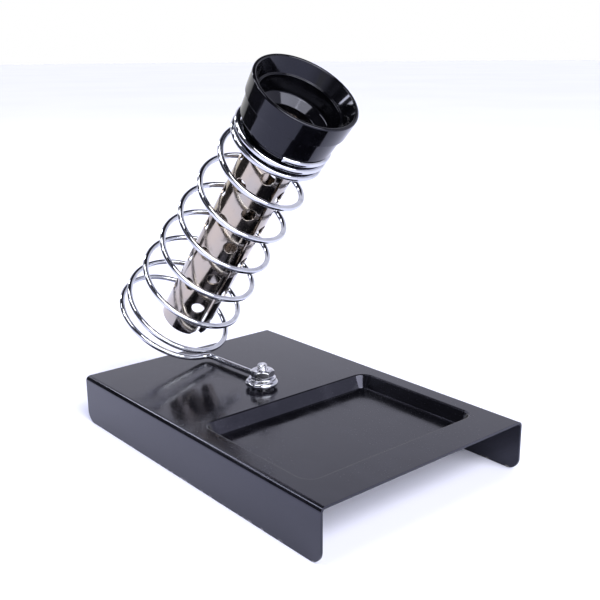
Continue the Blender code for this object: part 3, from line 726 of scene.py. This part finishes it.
shape = bmesh.new()
rings = []
mouth = NUT_BORE + NUT_SINK
slope = NUT_CHAMFER / (NUT_CORNER - NUT_FLAT)
heights = (
    (NUT_BORE, NUT_HIGH.z - NUT_SINK),
    (mouth, NUT_HIGH.z),
    (NUT_FLAT - NUT_FACE_INSET, NUT_HIGH.z),
    (None, 1),
    (None, -1),
    (NUT_FLAT - NUT_FACE_INSET, NUT_LOW.z),
    (mouth, NUT_LOW.z),
    (NUT_BORE, NUT_LOW.z + NUT_SINK),
)
for radius, z in heights:
    ring = []
    for index in range(NUT_ROUND):
        angle = 2 * math.pi * index / NUT_ROUND
        from_flat = (angle + math.pi / 6) % (math.pi / 3) - math.pi / 6
        side = NUT_FLAT / math.cos(math.pi / 6 - abs(from_flat))
        spot = side if radius is None else radius
        cut = max(side - NUT_FLAT + NUT_FACE_INSET, 0.0) * slope
        level = z if radius is not None else (NUT_HIGH.z - cut if z > 0 else NUT_LOW.z + cut)
        ring.append(shape.verts.new((spot * math.cos(angle), spot * math.sin(angle), level)))
    rings.append(ring)
for lower, upper in zip(rings, rings[1:] + rings[:1]):
    for index in range(NUT_ROUND):
        after = (index + 1) % NUT_ROUND
        shape.faces.new((lower[index], lower[after], upper[after], upper[index]))
nut_place = screw_place @ Matrix.Rotation(NUT_SET, 4, "Z")
nut_nickel = plated_steel("nickel_plated_nut_steel", roughness=0.07)
nut = make_piece(
    "hexagon_clamp_nut",
    finish_mesh(shape, "hexagon_clamp_nut", nut_place),
    nut_nickel,
    "nut",
    ["clamp_nut"],
)
soften_edges(nut, "worn_edge", NUT_EDGE, 3, math.radians(24.0))
nut.modifiers.move(1, 0)


# ---------------------------------------------------------------- spring
# One length of hard drawn steel wire, 2.4 mm thick, coiled left-hand with closed end turns, its
# lower end bent out into a straight arm and a hook round the screw. Polished, then chromium plated.
WIRE_RADIUS = 1.2 * MM
WIRE_SIDES = 28
WIRE_STEPS_PER_TURN = 96
# A cut end's dome: how far past the end, and how wide, as shares of the wire's radius
WIRE_DOME = ((0.16, 0.78), (0.1, 0.93), (0.0, 1.0))
ARM_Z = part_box("spring")[0].z + WIRE_RADIUS
ARM_REACH = 41.5 * MM            # from the screw to the bottom turn
ARM_OFFSET = 3.2 * MM
BEND_RADIUS = 3.0 * MM
EYE_RADIUS = 5.6 * MM
EYE_OFFSET = (-1.2 * MM, -0.9 * MM)      # the wire was clamped with its eye this far off the screw
EYE_START = math.radians(120.0)
EYE_END = math.radians(357.0)
COIL_LEAN = math.radians(41.5)
HOLDER_LEAN = math.radians(38.5)
COIL_BOTTOM_RADIUS = 25.0 * MM
COIL_TOP_RADIUS = 18.0 * MM
CLOSED_PITCH = 3.6 * MM
OPEN_PITCH = 18.2 * MM
CLOSED_BOTTOM_TURNS = 0.95
OPEN_TURNS = 5.9
CLOSED_TOP_TURNS = 2.26
PITCH_CHANGE_TURNS = 0.6
TURN_LEAN = math.radians(8.0)    # how far the bottom turns lean, to the side and to the front
CHROME = linear("C9CBD2")
CHROME_HAZE = linear("B3B5BE")


def smooth_step(value):
    share = min(max(value, 0.0), 1.0)
    return share * share * (3 - 2 * share)


def coil_path():
    """Middle of the wire from its top end down the coil, and the middle of its top turn."""
    along = Vector((0.0, -math.sin(COIL_LEAN), math.cos(COIL_LEAN)))
    front = Vector((0.0, -math.cos(COIL_LEAN), -math.sin(COIL_LEAN)))
    side = Vector((-1.0, 0.0, 0.0))
    turns = CLOSED_BOTTOM_TURNS + OPEN_TURNS + CLOSED_TOP_TURNS
    steps = round(turns * WIRE_STEPS_PER_TURN)
    heights = [0.0]
    for step in range(steps):
        turn = turns * (step + 0.5) / steps - CLOSED_BOTTOM_TURNS
        opening = smooth_step(turn / PITCH_CHANGE_TURNS + 0.5)
        closing = smooth_step((turn - OPEN_TURNS) / PITCH_CHANGE_TURNS + 0.5)
        pitch = CLOSED_PITCH + (OPEN_PITCH - CLOSED_PITCH) * (opening - closing)
        heights.append(heights[-1] + pitch * turns / steps)
    taper_height = heights[-1] - CLOSED_PITCH * CLOSED_TOP_TURNS
    top_lean = COIL_LEAN - HOLDER_LEAN
    lowest = COIL_BOTTOM_RADIUS * (front + math.tan(TURN_LEAN) * along)
    middle = Vector((0.0, ARM_REACH, ARM_Z)) - lowest
    points = []
    for step in range(steps + 1):
        angle = 2 * math.pi * turns * step / steps
        share = min(heights[step] / taper_height, 1.0)
        radius = COIL_BOTTOM_RADIUS + (COIL_TOP_RADIUS - COIL_BOTTOM_RADIUS) * share
        front_rise = math.tan(TURN_LEAN + (top_lean - TURN_LEAN) * share)
        side_rise = math.tan(TURN_LEAN * (1 - share))
        rise = front_rise * math.cos(angle) + side_rise * math.sin(angle)
        ring = front * math.cos(angle) + side * math.sin(angle) + along * rise
        points.append(middle + along * heights[step] + ring * radius)
    points.reverse()
    return points, middle + along * heights[-1]


def arm_path(coil_end):
    """From the coil's end along the arm, round its two bends, and most of the way round the screw."""
    eye = profile_arc(EYE_OFFSET, EYE_RADIUS, EYE_START, EYE_END, 64)
    eye_start = Vector((*eye[0], ARM_Z))
    heading = Vector((-math.sin(EYE_START), math.cos(EYE_START), 0.0))
    reach = (ARM_OFFSET - eye_start.x) / heading.x
    corners = [coil_end, Vector((ARM_OFFSET, ARM_REACH, ARM_Z)), eye_start + heading * reach, eye_start]
    points = []
    for before, corner, after in zip(corners, corners[1:], corners[2:]):
        points += rounded_corner(before, corner, after, BEND_RADIUS, 16)
    for x, y in eye:
        points.append(Vector((x, y, ARM_Z)))
    return points


def sweep_wire(name, path, radius, sides, place):
    """A round wire along a path, its cut ends slightly domed, with a map in metres along and round it."""
    shape = bmesh.new()
    metres = shape.loops.layers.uv.new("metres")
    travelled = [0.0]
    for before, after in zip(path, path[1:]):
        travelled.append(travelled[-1] + (after - before).length)
    last = len(path) - 1
    tangents = [(path[min(i + 1, last)] - path[max(i - 1, 0)]).normalized() for i in range(last + 1)]
    normal = tangents[0].orthogonal().normalized()
    frames = []
    for tangent in tangents:
        normal = (normal - tangent * normal.dot(tangent)).normalized()
        frames.append((normal.copy(), tangent.cross(normal)))
    stations = [(0, -beyond, share) for beyond, share in WIRE_DOME]
    stations += [(index, 0.0, 1.0) for index in range(1, last)]
    stations += [(last, beyond, share) for beyond, share in reversed(WIRE_DOME)]
    rings = []
    for index, beyond, share in stations:
        across, up = frames[index]
        middle = path[index] + tangents[index] * beyond * radius
        ring = []
        for side in range(sides):
            angle = 2 * math.pi * side / sides
            spoke = across * math.cos(angle) + up * math.sin(angle)
            ring.append(shape.verts.new(middle + spoke * radius * share))
        rings.append((ring, travelled[index] + beyond * radius))
    for (lower, low_at), (upper, high_at) in zip(rings, rings[1:]):
        for side in range(sides):
            after = (side + 1) % sides
            face = shape.faces.new((lower[side], lower[after], upper[after], upper[side]))
            around = 2 * math.pi * radius * side / sides
            next_around = 2 * math.pi * radius * (side + 1) / sides
            spots = ((low_at, around), (low_at, next_around), (high_at, next_around), (high_at, around))
            for loop, spot in zip(face.loops, spots):
                loop[metres].uv = spot
    shape.faces.new(rings[0][0])
    shape.faces.new(rings[-1][0])
    return finish_mesh(shape, name, place)


# Bright chromium over drawn wire: faint drawing lines along it, a light haze, and grease marks
chromed, tree, shader, coordinates = start_material("polished_chromium_plate", Metallic=1.0)
along_wire = coordinates.outputs["UV"]
lines = noise(tree, along_wire, 0.18 * MM, 2.0, (60.0, 1.0, 1.0))
haze = remap(tree, noise(tree, coordinates.outputs["Object"], 7 * MM, 3.0), 0.45, 0.7)
pits = remap(tree, noise(tree, coordinates.outputs["Object"], 0.5 * MM, 1.0), 0.73, 0.78)
tree.links.new(mix_colours(tree, haze, CHROME, CHROME_HAZE), shader.inputs["Base Color"])
chrome_roughness = remap(tree, haze, 0.0, 1.0, 0.035, 0.09)
chrome_roughness = maths(tree, "ADD", chrome_roughness, maths(tree, "MULTIPLY", pits, 0.2))
tree.links.new(chrome_roughness, shader.inputs["Roughness"])
add_bump(tree, shader, lines, 0.003 * MM)
add_bump(tree, shader, pits, -0.006 * MM)

coil, top_turn = coil_path()
wire_route = coil + arm_path(coil[-1])
make_piece(
    "chromed_wire_spring",
    sweep_wire("chromed_wire_spring", wire_route, WIRE_RADIUS, WIRE_SIDES, screw_place),
    chromed,
    "iron_holder",
    ["spring"],
)


# ---------------------------------------------------------------- cup
# A funnel cup moulded in black phenolic and turned to size, with a stepped skirt, a ledge inside
# its mouth and a neck that the spring's top turns grip. It takes the iron's collar.
HOLDER_ALONG = Vector((0.0, -math.sin(HOLDER_LEAN), math.cos(HOLDER_LEAN)))
HOLDER_GAP = 0.15 * MM
CUP_NECK_RADIUS = 16.35 * MM
CUP_NECK_LENGTH = 9.5 * MM
CUP_BAND_BOTTOM = 18.7 * MM
CUP_BAND_TOP = 19.4 * MM
CUP_BAND_HEIGHT = 8.7 * MM
CUP_STEP = 0.9 * MM
CUP_RIM_RADIUS = 20.9 * MM
CUP_HEIGHT = 17.0 * MM
CUP_LIP = 1.4 * MM
CUP_LEDGE_HEIGHT = 11.3 * MM
CUP_LEDGE = 16.9 * MM
CUP_LEDGE_WIDTH = 0.8 * MM
CUP_WELL = 14.8 * MM
CUP_WELL_HEIGHT = 4.5 * MM
CUP_FUNNEL_BOTTOM = 2.0 * MM
CUP_BORE = 11.3 * MM
CUP_STOP_HEIGHT = -0.5 * MM
CUP_STOP_WIDTH = 0.7 * MM
PHENOLIC_BLACK = linear("040406")
PHENOLIC_TINT = linear("D2D4E8")
PHENOLIC_FLOW = linear("09090D")

holder_place = screw_place @ Matrix.Translation(top_turn + HOLDER_ALONG * (WIRE_RADIUS + HOLDER_GAP))
holder_place = holder_place @ Matrix.Rotation(HOLDER_LEAN, 4, "X")
cup_corners = [
    (CUP_BORE, -CUP_NECK_LENGTH, 0.2 * MM),
    (CUP_BORE, CUP_STOP_HEIGHT, 0.0),
    (CUP_BORE - CUP_STOP_WIDTH, CUP_STOP_HEIGHT, 0.1 * MM),
    (CUP_BORE - CUP_STOP_WIDTH, CUP_FUNNEL_BOTTOM, 0.6 * MM),
    (CUP_WELL, CUP_WELL_HEIGHT, 1.2 * MM),
    (CUP_LEDGE - CUP_LEDGE_WIDTH, CUP_LEDGE_HEIGHT, 0.3 * MM),
    (CUP_LEDGE, CUP_LEDGE_HEIGHT, 0.25 * MM),
    (CUP_RIM_RADIUS - CUP_LIP, CUP_HEIGHT, 0.6 * MM),
    (CUP_RIM_RADIUS, CUP_HEIGHT, 0.6 * MM),
    (CUP_BAND_TOP + CUP_STEP, CUP_BAND_HEIGHT, 0.15 * MM),
    (CUP_BAND_TOP, CUP_BAND_HEIGHT, 0.1 * MM),
    (CUP_BAND_BOTTOM, 0.0, 0.4 * MM),
    (CUP_NECK_RADIUS, 0.0, 0.2 * MM),
    (CUP_NECK_RADIUS, -CUP_NECK_LENGTH, 0.5 * MM),
]
shape = bmesh.new()
lathe(shape, filleted_section(cup_corners, 7), 192)
# Black phenolic, turned and buffed: faint turning rings, flow marks from moulding, a little dust
phenolic, tree, shader, coordinates = start_material("turned_black_phenolic", IOR=1.46)
shader.inputs["Specular Tint"].default_value = PHENOLIC_TINT
to_holder = holder_place.inverted()
turned = add_node(
    tree,
    "ShaderNodeMapping",
    {"Location": to_holder.to_translation(), "Rotation": to_holder.to_euler()},
    {"Vector": coordinates.outputs["Object"]},
    vector_type="POINT",
)
holder_spot = turned.outputs["Vector"]
parts = add_node(tree, "ShaderNodeSeparateXYZ", links={0: holder_spot})
ring_place = add_node(tree, "ShaderNodeCombineXYZ", links={"Z": parts.outputs["Z"]}).outputs["Vector"]
rings_height = noise(tree, ring_place, 0.16 * MM, 2.0)
flow = remap(tree, noise(tree, coordinates.outputs["Object"], 6 * MM, 4.0, (1.0, 1.0, 2.0)), 0.4, 0.75)
dust = remap(tree, noise(tree, coordinates.outputs["Object"], 0.4 * MM, 1.0), 0.73, 0.77)
cup_colour = mix_colours(tree, flow, PHENOLIC_BLACK, PHENOLIC_FLOW)
tree.links.new(mix_colours(tree, dust, cup_colour, ENAMEL_DUSTY), shader.inputs["Base Color"])
cup_roughness = remap(tree, flow, 0.0, 1.0, 0.07, 0.12)
cup_roughness = maths(tree, "ADD", cup_roughness, maths(tree, "MULTIPLY", dust, 0.3))
tree.links.new(cup_roughness, shader.inputs["Roughness"])
add_bump(tree, shader, rings_height, 0.0012 * MM)
add_bump(tree, shader, noise(tree, coordinates.outputs["Object"], 3 * MM, 1.0), 0.006 * MM)
make_piece(
    "turned_funnel_cup",
    finish_mesh(shape, "turned_funnel_cup", holder_place),
    phenolic,
    "iron_holder",
    ["cup"],
)


# ---------------------------------------------------------------- perforated tube
# A guard tube rolled from punched steel sheet and butted along an open seam, with staggered round
# holes that let the iron's heat out. Bright nickel plated, a little straw coloured from heat.
TUBE_RADIUS = 11.0 * MM
TUBE_SHEET = 0.4 * MM
TUBE_TOP = CUP_STOP_HEIGHT - HOLDER_GAP
TUBE_HANG = 111.0 * MM
SEAM_GAP = 1.3 * MM
SEAM_ANGLE = math.radians(-12.0)
SEAM_CORNER = 2.2 * MM
HOLE_RADIUS = 2.8 * MM
HOLE_COLUMNS = 8
HOLE_COLUMN_NEAR_SEAM = math.radians(27.5)
HOLE_PITCH = 19.1 * MM
HOLE_FIRST = 17.3 * MM
HOLE_SIDES = 36
# Rings round a hole: how far out, how deep the punch has drawn the sheet in, and its tilt in degrees
PUNCH_ROLL = (
    (0.42 * MM, 0.0, 0.0),
    (0.2 * MM, 0.012 * MM, 10.0),
    (0.07 * MM, 0.05 * MM, 38.0),
    (0.0, 0.12 * MM, 72.0),
)
GRID_STEP = 1.25 * MM
NICKEL_GREY = linear("A39E98")
NICKEL_STRAW = linear("AFA395")
NICKEL_SOOT = linear("5E5A57")


def tube_hole_centres():
    """(distance round the tube from the seam, height) of every hole."""
    seam_half = SEAM_GAP / 2 / TUBE_RADIUS
    spread = 2 * math.pi - 2 * HOLE_COLUMN_NEAR_SEAM
    centres = []
    for column in range(HOLE_COLUMNS):
        angle = HOLE_COLUMN_NEAR_SEAM - seam_half + spread * column / (HOLE_COLUMNS - 1)
        drop = HOLE_FIRST + HOLE_PITCH / 2 * ((column + 1) % 2)
        while drop < TUBE_HANG - 4 * HOLE_RADIUS:
            centres.append(Vector((angle * TUBE_RADIUS, -drop)))
            drop += HOLE_PITCH
    return centres


def flat_pattern(centres):
    """The sheet laid flat: points, triangles, and the loops of its outline and holes."""
    width = 2 * math.pi * TUBE_RADIUS - SEAM_GAP
    low = -TUBE_HANG
    count = round(width / GRID_STEP)
    outline = [(SEAM_CORNER + (width - 2 * SEAM_CORNER) * i / count, low) for i in range(count + 1)]
    rows = round((TUBE_TOP - low - SEAM_CORNER) / (2 * GRID_STEP))
    rise = (TUBE_TOP - low - SEAM_CORNER) / rows
    outline += [(width, low + SEAM_CORNER + rise * i) for i in range(rows + 1)]
    outline += [(width * (1 - i / count), TUBE_TOP) for i in range(1, count + 1)]
    outline += [(0.0, TUBE_TOP - rise * i) for i in range(1, rows + 1)]
    points = [Vector(spot) for spot in outline]
    loops = [list(range(len(points)))]
    dips = [(0.0, 0.0, None)] * len(points)
    for centre in centres:
        for out, depth, tilt in PUNCH_ROLL:
            loops.append([len(points) + index for index in range(HOLE_SIDES)])
            for x, y in profile_arc(centre, HOLE_RADIUS + out, 0.0, 2 * math.pi, HOLE_SIDES)[:-1]:
                points.append(Vector((x, y)))
                dips.append((depth, math.radians(tilt), centre))
    clear = HOLE_RADIUS + PUNCH_ROLL[0][0] + GRID_STEP / 2
    across = int(width / GRID_STEP)
    down = int((TUBE_TOP - low) / GRID_STEP)
    for column in range(1, across):
        for row in range(1, down):
            spot = Vector((column * width / across, low + row * (TUBE_TOP - low) / down))
            snipped = min(spot.x, width - spot.x) + spot.y - low < SEAM_CORNER + GRID_STEP / 2
            if not snipped and all((spot - centre).length > clear for centre in centres):
                points.append(spot)
                dips.append((0.0, 0.0, None))
    edges = [(loop[i], loop[(i + 1) % len(loop)]) for loop in loops for i in range(len(loop))]
    found = delaunay_2d_cdt(points, edges, [], 1, 1e-9)
    spots, triangles, origins = found[0], found[2], found[3]
    kept = []
    for triangle in triangles:
        middle = sum((spots[index] for index in triangle), Vector((0.0, 0.0))) / len(triangle)
        if all((middle - centre).length > HOLE_RADIUS * 0.995 for centre in centres):
            kept.append([origins[index][0] for index in triangle])
    rims = [loops[0]] + loops[len(PUNCH_ROLL) :: len(PUNCH_ROLL)]
    return points, dips, kept, rims


def rolled_tube(centres):
    """Rolls the flat pattern into the tube: outer face, inner face and cut edges, each with its
    own true normals."""
    points, dips, triangles, rims = flat_pattern(centres)
    start = -math.pi / 2 + SEAM_ANGLE + SEAM_GAP / TUBE_RADIUS
    verts = []
    normals = []
    faces = []

    def add_vert(spot, radius, push, flat):
        """One point at a radius, its normal leaning by push towards a direction on the flat sheet."""
        angle = start + spot.x / TUBE_RADIUS
        outward = Vector((math.cos(angle), math.sin(angle), 0.0))
        around = Vector((-math.sin(angle), math.cos(angle), 0.0))
        verts.append(outward * radius + Vector((0.0, 0.0, spot.y)))
        lean = around * flat.x + Vector((0.0, 0.0, 1.0)) * flat.y
        normals.append((outward * math.cos(push) + lean * math.sin(push)).normalized())
        return len(verts) - 1

    for spot, (depth, tilt, centre) in zip(points, dips):
        inward = (centre - spot).normalized() if centre is not None else Vector((0.0, 0.0))
        add_vert(spot, TUBE_RADIUS - depth, tilt, inward)
    faces += [list(triangle) for triangle in triangles]
    inner = len(verts)
    for spot in points:
        add_vert(spot, TUBE_RADIUS - TUBE_SHEET, math.pi, Vector((0.0, 0.0)))
    faces += [[inner + index for index in reversed(triangle)] for triangle in triangles]
    for number, rim in enumerate(rims):
        middle = sum((points[index] for index in rim), Vector((0.0, 0.0))) / len(rim)
        pairs = []
        for place, index in enumerate(rim):
            step = points[rim[(place + 1) % len(rim)]] - points[rim[place - 1]]
            away = Vector((step.y, -step.x)).normalized()
            toward_hole = (middle - points[index]).normalized()
            flat = away if number == 0 else toward_hole
            depth = dips[index][0]
            top = add_vert(points[index], TUBE_RADIUS - depth, math.pi / 2, flat)
            pairs.append((top, add_vert(points[index], TUBE_RADIUS - TUBE_SHEET, math.pi / 2, flat)))
        for place, (top, bottom) in enumerate(pairs):
            next_top, next_bottom = pairs[(place + 1) % len(pairs)]
            faces.append([top, bottom, next_bottom, next_top])
    mesh = bpy.data.meshes.new("rolled_perforated_tube")
    mesh.from_pydata(verts, [], faces)
    shape = bmesh.new()
    shape.from_mesh(mesh)
    shape.verts.ensure_lookup_table()
    shape.normal_update()
    for face in shape.faces:
        wanted = sum((normals[vert.index] for vert in face.verts), Vector((0.0, 0.0, 0.0)))
        if face.normal.dot(wanted) < 0:
            face.normal_flip()
    bmesh.ops.transform(shape, matrix=holder_place, verts=shape.verts)
    shape.to_mesh(mesh)
    shape.free()
    turn = holder_place.to_3x3()
    mesh.shade_smooth()
    mesh.normals_split_custom_set_from_vertices([turn @ normal for normal in normals])
    return mesh


# Bright nickel on rolled steel: straw tint from heat, soot in patches, rolling lines along the tube
# and faint finger marks
nickelled, tree, shader, coordinates = start_material("bright_nickel_on_rolled_steel", Metallic=1.0)
place = coordinates.outputs["Object"]
holder_spot = add_node(
    tree,
    "ShaderNodeMapping",
    {"Location": to_holder.to_translation(), "Rotation": to_holder.to_euler()},
    {"Vector": place},
    vector_type="POINT",
).outputs["Vector"]
straw = remap(tree, noise(tree, holder_spot, 14 * MM, 3.0, (1.0, 1.0, 2.0)), 0.35, 0.65)
soot = remap(tree, noise(tree, holder_spot, 5 * MM, 5.0), 0.56, 0.8)
rolling = noise(tree, holder_spot, 0.3 * MM, 3.0, (1.0, 1.0, 50.0))
fingers = remap(tree, noise(tree, holder_spot, 9 * MM, 2.0), 0.52, 0.66)
tube_colour = mix_colours(tree, straw, NICKEL_GREY, NICKEL_STRAW)
sooted = mix_colours(tree, maths(tree, "MULTIPLY", soot, 0.6), tube_colour, NICKEL_SOOT)
tree.links.new(sooted, shader.inputs["Base Color"])
tube_roughness = remap(tree, soot, 0.0, 1.0, 0.1, 0.24)
tube_roughness = maths(tree, "ADD", tube_roughness, maths(tree, "MULTIPLY", fingers, 0.05))
tree.links.new(tube_roughness, shader.inputs["Roughness"])
add_bump(tree, shader, rolling, 0.004 * MM)
add_bump(tree, shader, noise(tree, holder_spot, 8 * MM, 1.0), 0.03 * MM)
make_piece(
    "rolled_perforated_tube",
    rolled_tube(tube_hole_centres()),
    nickelled,
    "iron_holder",
    ["perforated_tube"],
    weighted=False,
)
